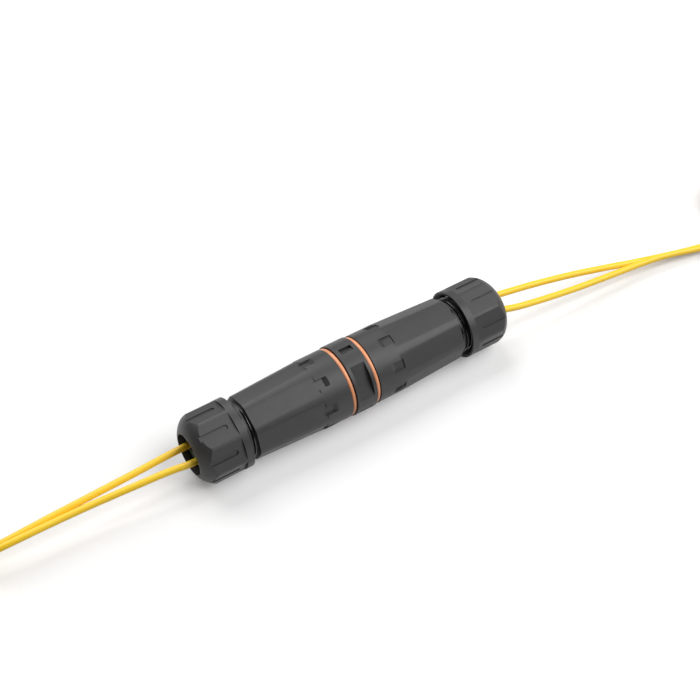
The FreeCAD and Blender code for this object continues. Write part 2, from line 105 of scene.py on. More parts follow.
class Value:
    """An output socket that can be added to and multiplied."""

    def __init__(self, finish, socket):
        self.finish = finish
        self.socket = socket

    def maths(self, operation, other):
        return self.finish.node("ShaderNodeMath", {"operation": operation}, {0: self, 1: other})

    def __add__(self, other):
        return self.maths("ADD", other)

    def __mul__(self, other):
        return self.maths("MULTIPLY", other)

    __radd__ = __add__
    __rmul__ = __mul__


print("Value:", Value.__doc__)

# %% [markdown]
# Every finish here is one Principled BSDF, of which a few sockets vary over the surface. One method adds
# any node, with its settings first and then its sockets. Short ones stand for what most finishes need: a
# cloudy pattern, a change between two colours, and a small relief. The pattern reads Object coordinates,
# because those stay with a piece when it moves.

# %% A material under construction


class Finish:
    """A material whose shader is a Principled BSDF."""

    def __init__(self, name):
        self.material = bpy.data.materials.new(name)
        self.material.use_nodes = True
        self.tree = self.material.node_tree
        self.shader = self.tree.nodes["Principled BSDF"]

    def node(self, kind, settings=None, sockets=None, output=0):
        """Adds a node: its settings come first, then values or links for its sockets."""
        made = self.tree.nodes.new(kind)
        for name, value in (settings or {}).items():
            setattr(made, name, value)
        for name, value in (sockets or {}).items():
            self.feed(made.inputs[name], value)
        return Value(self, made.outputs[output])

    def feed(self, socket, value):
        """Links a value to a socket, or sets the socket to a number or a colour."""
        if isinstance(value, Value):
            self.tree.links.new(value.socket, socket)
        else:
            socket.default_value = value

    def set(self, **sockets):
        """Sets or links the shader's sockets, named with underscores for spaces."""
        for name, value in sockets.items():
            self.feed(self.shader.inputs[name.replace("_", " ")], value)

    def noise(self, scale, detail=2.0):
        """A cloudy value from 0 to 1, with features of about 1 / scale metres."""
        place = self.node("ShaderNodeTexCoord", output="Object")
        return self.node("ShaderNodeTexNoise", sockets={"Vector": place, "Scale": scale, "Detail": detail})

    def tint(self, factor, low, high):
        """A colour that goes from low to high with the factor."""
        return self.node("ShaderNodeMix", {"data_type": "RGBA"}, {0: factor, 6: low, 7: high}, output=2)

    def bump(self, height, strength, depth):
        """A normal from a height of 0 to 1 that stands for the given depth in metres."""
        return self.node("ShaderNodeBump", sockets={
            "Height": height, "Strength": strength, "Distance": depth,
        })


print("Finish:", Finish.__doc__)

# %% [markdown]
# The housings, the ring and the nuts are moulded in one charcoal plastic. Their mould is spark-eroded,
# which leaves a fine, even grain that breaks up reflections, with smoother patches where the coupler has
# been handled. An image could carry the grain, but it would need a UV map on every piece, so noises of
# three scales make it instead. The threads are the same plastic, painted near black as painted shade of
# the gap they sit in, and they are shinier than the rest, because the mould is polished there.

# %% Charcoal plastic
GREYS = ((0.042, 0.042, 0.043, 1), (0.048, 0.048, 0.049, 1))
# Near-black greys for the threads: painted shade of the gap between each nut and its housing.
GAP_SHADE_BLACKS = ((0.008, 0.008, 0.009, 1), (0.012, 0.012, 0.013, 1))
CLOUD_SCALE = 90
CLOUD_DETAIL = 3
PATCH_SCALE = 260
GRAIN_SCALE = 3800
GRAIN_DEPTH = 0.06 * MM


def make_charcoal(name, greys, smooth, rough, grain, gloss):
    """Moulded plastic between two greys and two roughnesses, with strengths for its grain and gloss."""
    finish = Finish(name)
    finish.set(
        Base_Color=finish.tint(finish.noise(CLOUD_SCALE, CLOUD_DETAIL), *greys),
        Roughness=smooth + (rough - smooth) * finish.noise(PATCH_SCALE),
        Normal=finish.bump(finish.noise(GRAIN_SCALE), grain, GRAIN_DEPTH),
        Specular_IOR_Level=gloss,
    )
    return finish.material


charcoal = make_charcoal("charcoal plastic", GREYS, smooth=0.38, rough=0.5, grain=0.3, gloss=0.38)
# The thread material is the charcoal with more gloss, and its colour darkened to painted shade of the gap.
thread_painted_shade = make_charcoal("thread plastic painted with gap shade", GAP_SHADE_BLACKS, smooth=0.14, rough=0.24, grain=0.05, gloss=0.7)
print(charcoal.name, "and", thread_painted_shade.name)

# %% [markdown]
# The O-rings are orange silicone, the cable plugs green rubber and the boots blue rubber. Soft materials
# have no grain to speak of, but they are never quite even: a seal is a little paler where it is squeezed,
# and a plug is dusty. One flat colour would look painted. So one slow noise moves the colour and the
# surface together, and a quicker one moves the gloss.

# %% Rubbers
SLOW_SCALE = 320
SLOW_DEPTH = 0.08 * MM
SHEEN_SCALE = 700
SHEEN_DETAIL = 1


def make_rubber(name, low, high, smooth, rough, relief):
    """A soft material between two colours and two roughnesses, with a strength for its relief."""
    finish = Finish(name)
    slow = finish.noise(SLOW_SCALE)
    finish.set(
        Base_Color=finish.tint(slow, low, high),
        Roughness=smooth + (rough - smooth) * finish.noise(SHEEN_SCALE, SHEEN_DETAIL),
        Normal=finish.bump(slow, relief, SLOW_DEPTH),
    )
    return finish.material


orange_rubber = make_rubber("orange silicone", (0.78, 0.3, 0.14, 1), (0.86, 0.37, 0.19, 1),
                            smooth=0.3, rough=0.42, relief=0.25)
green_rubber = make_rubber("green rubber", (0.03, 0.045, 0.02, 1), (0.05, 0.07, 0.03, 1),
                           smooth=0.5, rough=0.7, relief=0.4)
blue_rubber = make_rubber("blue boot rubber", (0.012, 0.15, 0.6, 1), (0.02, 0.19, 0.7, 1),
                          smooth=0.45, rough=0.6, relief=0.3)
print(orange_rubber.name, green_rubber.name, blue_rubber.name, sep=", ")

# %% [markdown]
# A lead's jacket is a smooth yellow plastic that is drawn out of a die, so what little it shows runs
# along it. A noise on Object coordinates would cut across the lead where it bends. So the streaks follow
# the UV map that a curve makes along itself. A little light goes into the jacket and comes out again,
# which softens its dark side.

# %% Jacket of the leads
STREAK_STRETCH = (40, 3, 1)
STREAK_SCALE = 4.0
STREAK_DETAIL = 2.0
JACKET_YELLOWS = ((0.94, 0.575, 0.017, 1), (0.97, 0.655, 0.034, 1))
JACKET_SMOOTH = 0.36
JACKET_ROUGH = 0.5
JACKET_GLOW = 0.2
JACKET_GLOW_DEPTHS = Vector((1, 0.7, 0.3)) * MM
jacket = Finish("yellow jacket")
along = jacket.node("ShaderNodeTexCoord", output="UV")
stretched = jacket.node("ShaderNodeMapping", sockets={"Vector": along, "Scale": STREAK_STRETCH})
streak = jacket.node("ShaderNodeTexNoise", sockets={
    "Vector": stretched, "Scale": STREAK_SCALE, "Detail": STREAK_DETAIL,
})
jacket.set(
    Base_Color=jacket.tint(streak, *JACKET_YELLOWS),
    Roughness=JACKET_SMOOTH + (JACKET_ROUGH - JACKET_SMOOTH) * streak,
    Subsurface_Weight=JACKET_GLOW,
    Subsurface_Radius=JACKET_GLOW_DEPTHS,
)
yellow_jacket = jacket.material
print(yellow_jacket.name, "with", len(jacket.tree.nodes), "nodes")

# %% [markdown]
# The plugs inside are of hard plastic, ceramic and steel, and the ties on the coils are hard plastic too.
# Such surfaces differ in colour and gloss but hardly in pattern. They could have a function each, but one
# serves them all: a faint noise mixes two colours and two roughnesses.

# %% Hard, smooth finishes
FAINT_SCALE = 500


def make_smooth(name, low, high, smooth, rough, metallic=0.0):
    """A smooth, hard finish with faint unevenness in colour and gloss."""
    finish = Finish(name)
    cloud = finish.noise(FAINT_SCALE)
    finish.set(
        Base_Color=finish.tint(cloud, low, high),
        Roughness=smooth + (rough - smooth) * cloud,
        Metallic=metallic,
    )
    return finish.material


blue_plastic = make_smooth("blue plug plastic", (0.012, 0.2, 0.72, 1), (0.02, 0.24, 0.8, 1),
                           smooth=0.24, rough=0.36)
white_plastic = make_smooth("white frame plastic", (0.8, 0.81, 0.81, 1), (0.87, 0.88, 0.88, 1),
                            smooth=0.35, rough=0.45)
ceramic = make_smooth("white ceramic", (0.87, 0.86, 0.83, 1), (0.92, 0.91, 0.89, 1),
                      smooth=0.1, rough=0.18)
steel = make_smooth("plain steel", (0.55, 0.55, 0.57, 1), (0.63, 0.63, 0.65, 1),
                    smooth=0.26, rough=0.4, metallic=1.0)
tie_black = make_smooth("black tie", (0.02, 0.02, 0.02, 1), (0.03, 0.03, 0.03, 1),
                        smooth=0.4, rough=0.5)
print(len(bpy.data.materials), "materials so far")

# %% [markdown]
# Two leads leave each nut side by side and run out of the picture. They come before the other pieces,
# because they decide how much room the model takes. They could be drawn anew, but the solid leads have
# routes already, so the curves repeat the corners of those. X counts outwards from the ring, in
# millimetres. Two more points keep the first run straight, as the plug and the seal hold it.

# %% Routes of the leads
STRAIGHT_POINTS = (65.2, 72.3)
ROUTES = {
    "left_a": [(79.4, 4.2, 14.5), (92, 4.2, 13.6), (106, 4.3, 12.9), (122, 4.5, 12), (136, 4.8, 10.8),
               (148, 5.6, 8.9), (164, 9, 4.8), (182, 12.45, 2.1)],
    "left_b": [(79.4, -2.8, 14.7), (92, -1.5, 14), (106, 0.5, 12.6), (122, 1.5, 12.2), (136, 1.8, 12.1),
               (148, 2.7, 11), (164, 6, 6.3), (182, 9.5, 2.1)],
    "right_a": [(79.4, 3.7, 13.7), (92, 2.8, 11.9), (110, 0.5, 9.5), (126, -2.2, 7.1), (142, -4.9, 4.2),
                (156, -7.5, 2.4), (170, -10.8, 1.6), (191, -15.4, 1.8), (213, -17.55, 2.1)],
    "right_b": [(79.4, -4.9, 12.7), (92, -5.7, 10.6), (110, -6.4, 7.8), (126, -7.1, 6.3), (142, -8, 5.4),
                (156, -9.7, 5), (170, -12.9, 3.6), (191, -18, 2.6), (213, -20.45, 2.1)],
}
crimp_low, crimp_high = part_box("crimp_body_right_a")
lead_start = crimp_high.x
lead_offset = (crimp_low.y + crimp_high.y) / 2


def lead_run(side, letter):
    """Control points from the plug to where the coil begins."""
    sign = SIDES[side]
    straight = (lead_start, *(x * MM for x in STRAIGHT_POINTS))
    points = [Vector((sign * x, LETTERS[letter] * lead_offset, axis_height)) for x in straight]
    return points + [Vector((sign * x, y, z)) * MM for x, y, z in ROUTES[f"{side}_{letter}"]]


print("leads start", round(lead_start / MM, 2), "mm out,", round(lead_offset / MM, 2), "mm beside the axis")

# %% [markdown]
# Each lead is half a metre long, and what the picture doesn't show of it lies in a coil. The coil could
# be a piece of its own, but a lead has no joint there, so its curve goes on round the coil's middle, one
# pitch higher with each turn. A quadratic NURBS curve touches the sides of its control polygon, so the
# control points lie a little outside the circle.

# %% Turns of the coils
COIL_POINTS = 16
COIL_PITCH = 2.85 * MM
COIL_CENTRES = {"left": Vector((-182, -4, 0)) * MM, "right": Vector((213, -4, 0)) * MM}
COIL_TURNS = {"left_a": 3.48, "left_b": 4.22, "right_a": 3.86, "right_b": 3.2}


def coil_turns(entry, centre, turns):
    """Control points of a coil that winds on from where the lead comes in."""
    spoke = entry - centre
    start = math.atan2(spoke.y, spoke.x)
    radius = math.hypot(spoke.x, spoke.y) / math.cos(math.pi / COIL_POINTS)
    points = []
    for step in range(1, round(turns * COIL_POINTS)):
        angle = start + 2 * math.pi * step / COIL_POINTS
        rise = entry.z + COIL_PITCH * step / COIL_POINTS
        points.append(centre + Vector((radius * math.cos(angle), radius * math.sin(angle), rise)))
    return points


print("turns", COIL_TURNS)

# %% [markdown]
# A lead is equally thick all along. It could be a circle that is extruded along the route, but a curve
# with a round bevel stays smooth, has few points to edit, and makes the UV map that the jacket's streaks
# follow. Of each pair, the first lead stands for the solid coil as well.

# %% Leads
LEAD_DIAMETER = 2.8 * MM
LEAD_SECTION_STEPS = 5
LEAD_SPAN_STEPS = 8
LEAD_ORDER = 3
seal_low, seal_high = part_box("cable_seal_right")


def lead_curve(name, points):
    """A smooth curve with a round section and closed ends."""
    curve = bpy.data.curves.new(name, "CURVE")
    curve.dimensions = "3D"
    curve.bevel_depth = LEAD_DIAMETER / 2
    curve.bevel_resolution = LEAD_SECTION_STEPS
    curve.resolution_u = LEAD_SPAN_STEPS
    curve.use_fill_caps = True
    spline = curve.splines.new("NURBS")
    spline.points.add(len(points) - 1)
    for control, point in zip(spline.points, points):
        control.co = (*point, 1)
    spline.order_u = LEAD_ORDER
    spline.use_endpoint_u = True
    return curve


def make_lead(side, letter):
    """One lead from its plug to the end of its coil."""
    key = f"{side}_{letter}"
    points = lead_run(side, letter)
    points += coil_turns(points[-1], COIL_CENTRES[side], COIL_TURNS[key])
    lead = bpy.data.objects.new(f"jacket_{key}", lead_curve(f"jacket_{key}", points))
    lead.data.materials.append(yellow_jacket)
    bpy.context.scene.collection.objects.link(lead)
    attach(lead, "coupling")
    if letter == "a":
        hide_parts(f"lead_{key}", f"coil_{side}")
    else:
        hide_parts(f"lead_{key}")
    print(lead.name, "has", len(points), "control points")


for side, letter in PLUGS:
    make_lead(side, letter)

# %% [markdown]
# Every hard piece goes into the scene in one way: with a material, the body that it moves with, and the
# solids that it stands for. A moulded edge is never sharp, and the small round along it is what catches
# the light. Rounds could be modelled edge by edge, but a Bevel modifier finds every edge that turns by
# more than an angle, and the mesh below it stays simple.

# %% Helpers for hard pieces
SMOOTH_ANGLE = math.radians(14)
MERGE_DISTANCE = 0.001 * MM
ROUND_ANGLE = 30
ROUND_SEGMENTS = 3


def mesh_from(bm, name):
    """A mesh with outward normals and smooth shading, apart from its sharp edges."""
    bmesh.ops.remove_doubles(bm, verts=bm.verts, dist=MERGE_DISTANCE)
    bmesh.ops.recalc_face_normals(bm, faces=bm.faces)
    mesh = bpy.data.meshes.new(name)
    bm.to_mesh(mesh)
    bm.free()
    mesh.shade_smooth()
    mesh.set_sharp_from_angle(angle=SMOOTH_ANGLE)
    return mesh


def finish_piece(name, mesh, material, body, stands_for=()):
    """Puts a mesh in the scene as a piece of the object."""
    piece = bpy.data.objects.new(name, mesh)
    mesh.materials.clear()
    mesh.materials.append(material)
    bpy.context.scene.collection.objects.link(piece)
    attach(piece, body)
    if stands_for:
        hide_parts(*stands_for)
    print(name, "has", len(mesh.polygons), "faces")
    return piece


def round_edges(piece, width, angle=ROUND_ANGLE):
    """Rounds the edges that turn by more than an angle in degrees."""
    bevel = piece.modifiers.new("moulded edges", "BEVEL")
    bevel.width = width
    bevel.segments = ROUND_SEGMENTS
    bevel.limit_method = "ANGLE"
    bevel.angle_limit = math.radians(angle)
    bevel.harden_normals = True


print("edges over", ROUND_ANGLE, "degrees get rounded")

# %% [markdown]
# The ring carries two threaded spigots and recessed panels, and each housing is a tapered tube with eight
# flats. They could be modelled anew, but their solids have all these forms, so the pieces are copies. A
# solid's mesh is loose triangles, so a copy is merged, and flat triangles are joined until a bevel meets
# real edges only. The flats meet the rounds between them at an angle that the Bevel modifier would miss.
# These edges are rounded first, and more widely than the rest.

# %% Ring and housings
SOLID_MERGE_DISTANCE = 0.002 * MM
FLAT_ANGLE = math.radians(0.3)
SHALLOW_ANGLES = (11, 30)
SHALLOW_ROUND = 0.5 * MM
RING_ROUND = 0.2 * MM
HOUSING_ROUND = 0.18 * MM


def solid_copy(node, name, shallow_round=0.0):
    """A merged copy of a solid's mesh, whose shallow edges can be rounded at once."""
    bm = bmesh.new()
    bm.from_mesh(nodes[node].data)
    bmesh.ops.remove_doubles(bm, verts=bm.verts, dist=SOLID_MERGE_DISTANCE)
    bmesh.ops.dissolve_limit(bm, angle_limit=FLAT_ANGLE, verts=bm.verts, edges=bm.edges)
    if shallow_round:
        low, high = SHALLOW_ANGLES
        shallow = [e for e in bm.edges if e.is_manifold and low < math.degrees(e.calc_face_angle()) < high]
        bmesh.ops.bevel(bm, geom=shallow, offset=shallow_round, segments=ROUND_SEGMENTS, profile=0.5,
                        affect="EDGES", material=-1)
    return mesh_from(bm, name)


ring_mesh = solid_copy("coupling_body", "ring")
ring = finish_piece("ring", ring_mesh, charcoal, "coupling", ["coupling_body"])
round_edges(ring, RING_ROUND)
for side in SIDES:
    housing = f"housing_{side}"
    shell_mesh = solid_copy(housing, f"shell_{side}", SHALLOW_ROUND)
    shell = finish_piece(f"shell_{side}", shell_mesh, charcoal, housing, [housing])
    round_edges(shell, HOUSING_ROUND)

# %% [markdown]
# A thread shows in the gap between each housing and its nut, and those of the ring's spigots show when a
# housing is screwed off. The solids have plain cylinders there. A Screw modifier could wind the ridge,
# but the spin operator can do it too, with a step along the axis for each step round it, and gives a
# plain mesh. A face closes each end.

# %% Threads
THREAD_PITCH = 1.8 * MM
THREAD_FOOT = 0.68 * THREAD_PITCH
THREAD_FLANK = 0.2 * THREAD_PITCH
THREAD_SINK = 0.15 * MM
THREAD_ROUND = 0.2 * MM
THREAD_STEPS = 72
REAR_START = 47.1 * MM
REAR_END = 58 * MM
REAR_CORE = 11 * MM
REAR_CREST = 11.8 * MM
SPIGOT_START = 6.9 * MM
SPIGOT_CORE = 10.178 * MM
SPIGOT_CREST = 10.85 * MM


def draw_outline(bm, centre, points, sign):
    """Draws a closed outline of (x, radius) points straight above a centre, on one side of the coupler."""
    verts = [bm.verts.new(centre + Vector((sign * x, 0, radius))) for x, radius in points]
    edges = [bm.edges.new(pair) for pair in zip(verts, verts[1:] + verts[:1])]
    return verts, edges


def wound(name, section, turns, pitch, steps, sign, offset=0.0):
    """A closed section wound round the axis, or round a line beside it, with both ends closed."""
    centre = axis_point + Vector((0, offset, 0))
    bm = bmesh.new()
    verts, edges = draw_outline(bm, centre, section, sign)
    bm.faces.new(verts)
    count = round(turns * steps)
    spun = bmesh.ops.spin(bm, geom=verts + edges, cent=centre, axis=AXIS, angle=2 * math.pi * count / steps,
                          steps=count, dvec=AXIS * (sign * pitch / steps))
    last = [item for item in spun["geom_last"] if isinstance(item, bmesh.types.BMEdge)]
    bmesh.ops.contextual_create(bm, geom=last)
    return mesh_from(bm, name)


def thread(name, side, start, end, core, crest, body):
    """A thread ridge from start to end along one side of the coupler."""
    root = core - THREAD_SINK
    section = [
        (start, root), (start + THREAD_FLANK, crest), (start + THREAD_FOOT - THREAD_FLANK, crest),
        (start + THREAD_FOOT, root),
    ]
    turns = (end - start - THREAD_FOOT) / THREAD_PITCH
    mesh = wound(name, section, turns, THREAD_PITCH, THREAD_STEPS, SIDES[side])
    # The ridge takes the thread material, whose near-black colour is painted shade.
    ridge = finish_piece(f"{name}_{side}", mesh, thread_painted_shade, body)
    round_edges(ridge, THREAD_ROUND)


for side in SIDES:
    thread("rear_thread", side, REAR_START, REAR_END, REAR_CORE, REAR_CREST, f"housing_{side}")
    thread("spigot_thread", side, SPIGOT_START, ring_high.x, SPIGOT_CORE, SPIGOT_CREST, "coupling")

# %% [markdown]
# A gland nut has a mouth with a lead-in, a bore, a cone that presses on the housing's fingers, and a
# round end with a hole. A cylinder could be cut and rounded until it has all that, but every one of these
# forms goes right round. So one closed outline is turned, as on a lathe. The round end is a little
# flatter than an arc: each of its points lies between the arc and the chord.

# %% Blanks of the nuts
nut_low, nut_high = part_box("gland_nut_right")
nut_open = nut_low.x
nut_end = nut_high.x
NUT_RADIUS = (nut_high.z - nut_low.z) / 2
NUT_BORE = 11.95 * MM
NUT_HOLE = 8.5 * MM
NUT_WALL = 2.4 * MM
NUT_CONE = 1.8 * MM
NUT_CONE_FOOT = 11 * MM
NUT_LEAD_IN = 1.6 * MM
NUT_RIM = 0.8 * MM
NUT_STEPS = 128
DOME_RADIUS = 7.1 * MM
DOME_START = math.radians(15)
DOME_STOP = math.radians(78)
DOME_STEPS = 16
DOME_BULGE = 0.7


def turned(name, outline, steps, sign, offset=0.0):
    """A closed outline spun once round the axis, or round a line beside it."""
    centre = axis_point + Vector((0, offset, 0))
    bm = bmesh.new()
    verts, edges = draw_outline(bm, centre, outline, sign)
    bmesh.ops.spin(bm, geom=verts + edges, cent=centre, axis=AXIS, angle=2 * math.pi, steps=steps,
                   use_merge=True)
    return mesh_from(bm, name)


def dome():
    """The round end, from the outside of the nut to its end face."""
    arc = []
    for step in range(DOME_STEPS + 1):
        angle = DOME_START + (DOME_STOP - DOME_START) * step / DOME_STEPS
        arc.append(Vector((
            nut_end - DOME_RADIUS * (math.sin(DOME_STOP) - math.sin(angle)),
            NUT_RADIUS - DOME_RADIUS * (math.cos(DOME_START) - math.cos(angle)),
        )))
    chord = [arc[0].lerp(arc[-1], step / DOME_STEPS) for step in range(DOME_STEPS + 1)]
    return [tuple(flat.lerp(bent, DOME_BULGE)) for flat, bent in zip(chord, arc)]


def nut_blank(sign):
    """A turned nut, before its flats and grooves are cut."""
    inner_face = nut_end - NUT_WALL
    inside = [
        (nut_end, NUT_HOLE), (inner_face, NUT_HOLE), (inner_face, NUT_CONE_FOOT),
        (inner_face - NUT_CONE, NUT_BORE), (nut_open + NUT_LEAD_IN, NUT_BORE),
    ]
    mouth = [(nut_open, NUT_RADIUS - NUT_RIM), (nut_open, NUT_RADIUS)]
    return turned("nut blank", inside + mouth + dome(), NUT_STEPS, sign)


nut_blanks = {side: nut_blank(sign) for side, sign in SIDES.items()}
print("blanks have", [len(blank.polygons) for blank in nut_blanks.values()], "faces")

# %% [markdown]
# Behind a plain collar a nut has eight flats, with a round-headed groove in each. They could be formed by
# moving vertices of the blank, but then it would need rows of them in the right places. Cutters are
# simpler, and a mould is made in the same way. An eight-sided tube takes away what stands over the flats,
# and a bar over each flat takes the groove. The two nuts are screwed home at different angles.

# %% Cutters for flats and grooves
SIDES_OF_NUT = 8
NUT_CLOCKS = {"left": 22.5, "right": 17}
NUT_COLLAR = 3 * MM
NUT_FLAT = 13.5 * MM
GROOVE_WIDTH = 2.2 * MM
GROOVE_DEPTH = 0.5 * MM
GROOVE_SETBACK = 2.6 * MM
GROOVE_SEGMENTS = 20
CUTTER_REACH = 1.5 * NUT_RADIUS
cutter_start = nut_open + NUT_COLLAR
cutter_end = nut_end + NUT_WALL


def clock(degrees):
    """A turn about the axis of the coupler, from straight up towards the front."""
    to_axis = Matrix.Translation(axis_point)
    return to_axis @ Matrix.Rotation(math.radians(degrees), 4, "X") @ to_axis.inverted()


def extrude_in_place(bm, faces):
    """Extrudes faces in place, and returns the vertices of the new ones."""
    made = bmesh.ops.extrude_face_region(bm, geom=faces, use_keep_orig=True)["geom"]
    return [item for item in made if isinstance(item, bmesh.types.BMVert)]


def flats_cutter(side, sign):
    """A tube round an eight-sided bar."""
    bm = bmesh.new()
    start = Matrix.Translation(axis_point + Vector((sign * cutter_start, 0, 0)))
    facing = start @ Matrix.Rotation(math.pi / 2, 4, "Y")
    for radius in (NUT_FLAT / math.cos(math.pi / SIDES_OF_NUT), CUTTER_REACH):
        bmesh.ops.create_circle(bm, segments=SIDES_OF_NUT, radius=radius, matrix=facing)
    band = bmesh.ops.bridge_loops(bm, edges=bm.edges[:])["faces"]
    far = extrude_in_place(bm, band)
    bmesh.ops.translate(bm, verts=far, vec=AXIS * (sign * (cutter_end - cutter_start)))
    bmesh.ops.transform(bm, verts=bm.verts, matrix=clock(NUT_CLOCKS[side] + 180 / SIDES_OF_NUT))
    return mesh_from(bm, "flats")


def grooves_cutter(side, sign):
    """A round-headed bar over each flat, as long as its groove."""
    bm = bmesh.new()
    head = cutter_start + GROOVE_SETBACK
    bottom = NUT_FLAT - GROOVE_DEPTH
    middle = Matrix.Translation((head + GROOVE_WIDTH / 2, 0, axis_height + bottom))
    facing = Matrix.Diagonal((sign, 1, 1, 1)) @ middle
    for step in range(SIDES_OF_NUT):
        disc = bmesh.ops.create_circle(bm, cap_ends=True, segments=GROOVE_SEGMENTS, radius=GROOVE_WIDTH / 2)
        verts = disc["verts"]
        tail = [v for v in verts if v.co.x > 0]
        bmesh.ops.translate(bm, verts=tail, vec=AXIS * (cutter_end - head))
        raised = extrude_in_place(bm, [verts[0].link_faces[0]])
        bmesh.ops.translate(bm, verts=raised, vec=Vector((0, 0, CUTTER_REACH - bottom)))
        turn = clock(NUT_CLOCKS[side] + 360 / SIDES_OF_NUT * step)
        bmesh.ops.transform(bm, verts=verts + raised, matrix=turn @ facing)
    return mesh_from(bm, "grooves")


nut_cutters = {side: [flats_cutter(side, sign), grooves_cutter(side, sign)] for side, sign in SIDES.items()}
print("cutters have", [len(cutter.polygons) for cutter in nut_cutters["right"]], "faces")

# %% [markdown]
# Boolean modifiers take the cutters away from a blank. Where a flat runs out on the round end it leaves a
# curved lip, which comes out of the cut by itself. The modifiers could stay live, but then the cutters
# would have to stay in the scene, so the cut mesh is taken at once and the rest is removed.

# %% Gland nuts
NUT_ROUND = 0.14 * MM
NUT_ROUND_ANGLE = 38


def carve(mesh, cutters, name):
    """The mesh with the volume of each cutter taken away."""
    blank = bpy.data.objects.new(name, mesh)
    tools = [bpy.data.objects.new("cutter", cutter) for cutter in cutters]
    for item in [blank] + tools:
        bpy.context.scene.collection.objects.link(item)
    for tool in tools:
        cut = blank.modifiers.new("cut", "BOOLEAN")
        cut.operation = "DIFFERENCE"
        cut.solver = "EXACT"
        cut.object = tool
    bpy.context.view_layer.update()
    evaluated = blank.evaluated_get(bpy.context.evaluated_depsgraph_get())
    bm = bmesh.new()
    bm.from_mesh(bpy.data.meshes.new_from_object(evaluated))
    for item in [blank] + tools:
        bpy.data.objects.remove(item)
    return mesh_from(bm, name)


for side in SIDES:
    name = f"nut_{side}"
    nut_mesh = carve(nut_blanks[side], nut_cutters[side], name)
    nut = finish_piece(name, nut_mesh, charcoal, name, [f"gland_nut_{side}"])
    round_edges(nut, NUT_ROUND, NUT_ROUND_ANGLE)

# %% [markdown]
# The O-rings are squeezed between the ring and the housings until their section is nearly a slot with
# round ends. A torus would be too round. So a rectangle gets its corners rounded by a vertex bevel, and
# its outline is spun.

# %% O-rings
o_ring_low, o_ring_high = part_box("o_ring_right")
O_RING_WIDTH = 1.84 * MM
O_RING_ROUND = 0.85 * MM
O_RING_ROUND_SEGMENTS = 8
O_RING_CLEARANCE = 0.12 * MM
O_RING_STEPS = 128


def o_ring(sign):
    """A squeezed ring with a crowned rim."""
    middle = (o_ring_low.x + o_ring_high.x) / 2
    outer = o_ring_high.z - axis_height
    inner = SPIGOT_CREST + O_RING_CLEARANCE
    bm = bmesh.new()
    corners = []
    for across, radius in ((-1, inner), (1, inner), (1, outer), (-1, outer)):
        corners.append(bm.verts.new((sign * (middle + across * O_RING_WIDTH / 2), 0, axis_height + radius)))
    bm.faces.new(corners)
    bmesh.ops.bevel(bm, geom=corners, offset=O_RING_ROUND, segments=O_RING_ROUND_SEGMENTS, profile=0.5,
                    affect="VERTICES", material=-1)
    bmesh.ops.delete(bm, geom=bm.faces[:], context="FACES_ONLY")
    bmesh.ops.spin(bm, geom=bm.verts[:] + bm.edges[:], cent=axis_point, axis=AXIS, angle=2 * math.pi,
                   steps=O_RING_STEPS, use_merge=True)
    return mesh_from(bm, "seal ring")


for side, sign in SIDES.items():
    finish_piece(f"seal_ring_{side}", o_ring(sign), orange_rubber, "coupling",
                 [f"o_ring_{side}"])

# %% [markdown]
# Inside each nut a rubber plug holds the two leads. Its holes widen outwards like funnels, so that a lead
# can lean without a kink. The plug is a turned disc. The holes lie beside its axis and can't be turned
# with it, so two turned funnels are cut from it, as the flats are cut from a nut.

# %% Cable plugs
SEAL_RADIUS = (seal_high.z - seal_low.z) / 2
SEAL_HOLE = 1.45 * MM
SEAL_MOUTH = 3.2 * MM
SEAL_STRAIGHT = 2 * MM
SEAL_ROUND = 0.3 * MM
SEAL_STEPS = 64
FUNNEL_OVERLAP = 1 * MM
FUNNEL_STEPS = 32
funnel_low = seal_low.x - FUNNEL_OVERLAP
funnel_high = seal_high.x + FUNNEL_OVERLAP
DISC = [(seal_low.x, 0), (seal_high.x, 0), (seal_high.x, SEAL_RADIUS), (seal_low.x, SEAL_RADIUS)]
FUNNEL = [
    (funnel_low, 0), (funnel_high, 0), (funnel_high, SEAL_MOUTH), (seal_high.x, SEAL_MOUTH),
    (seal_low.x + SEAL_STRAIGHT, SEAL_HOLE), (funnel_low, SEAL_HOLE),
]
for side, sign in SIDES.items():
    disc = turned("cable plug", DISC, SEAL_STEPS, sign)
    funnels = [turned("funnel", FUNNEL, FUNNEL_STEPS, sign, y * lead_offset) for y in LETTERS.values()]
    plug_mesh = carve(disc, funnels, f"cable_plug_{side}")
    plug = finish_piece(f"cable_plug_{side}", plug_mesh, green_rubber, f"seal_{side}",
                        [f"cable_seal_{side}"])
    round_edges(plug, SEAL_ROUND)

# %% [markdown]
# The four plugs are hidden at rest, but they are finished as well. A boot keeps the lead from bending
# sharply behind its plug: it gets thinner towards the lead, and deep ring grooves let it bend. The
# grooves could be cut, but they go right round, so they are part of the outline that is turned.

# %% Boots
boot_low, boot_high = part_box("boot_right_a")
BOOT_RADIUS = (boot_high.z - boot_low.z) / 2
BOOT_TIP = 2.3 * MM
BOOT_NECK = 2.5 * MM
BOOT_NECK_LENGTH = 4.7 * MM
BOOT_PLAIN = 4.6 * MM
BOOT_BORE = 1.5 * MM
BOOT_RINGS = 6
BOOT_GROOVE = 0.55 * MM
BOOT_GROOVE_SHARE = 0.4
BOOT_RING_SHARE = 0.9
BOOT_ROUND = 0.15 * MM
BOOT_STEPS = 40


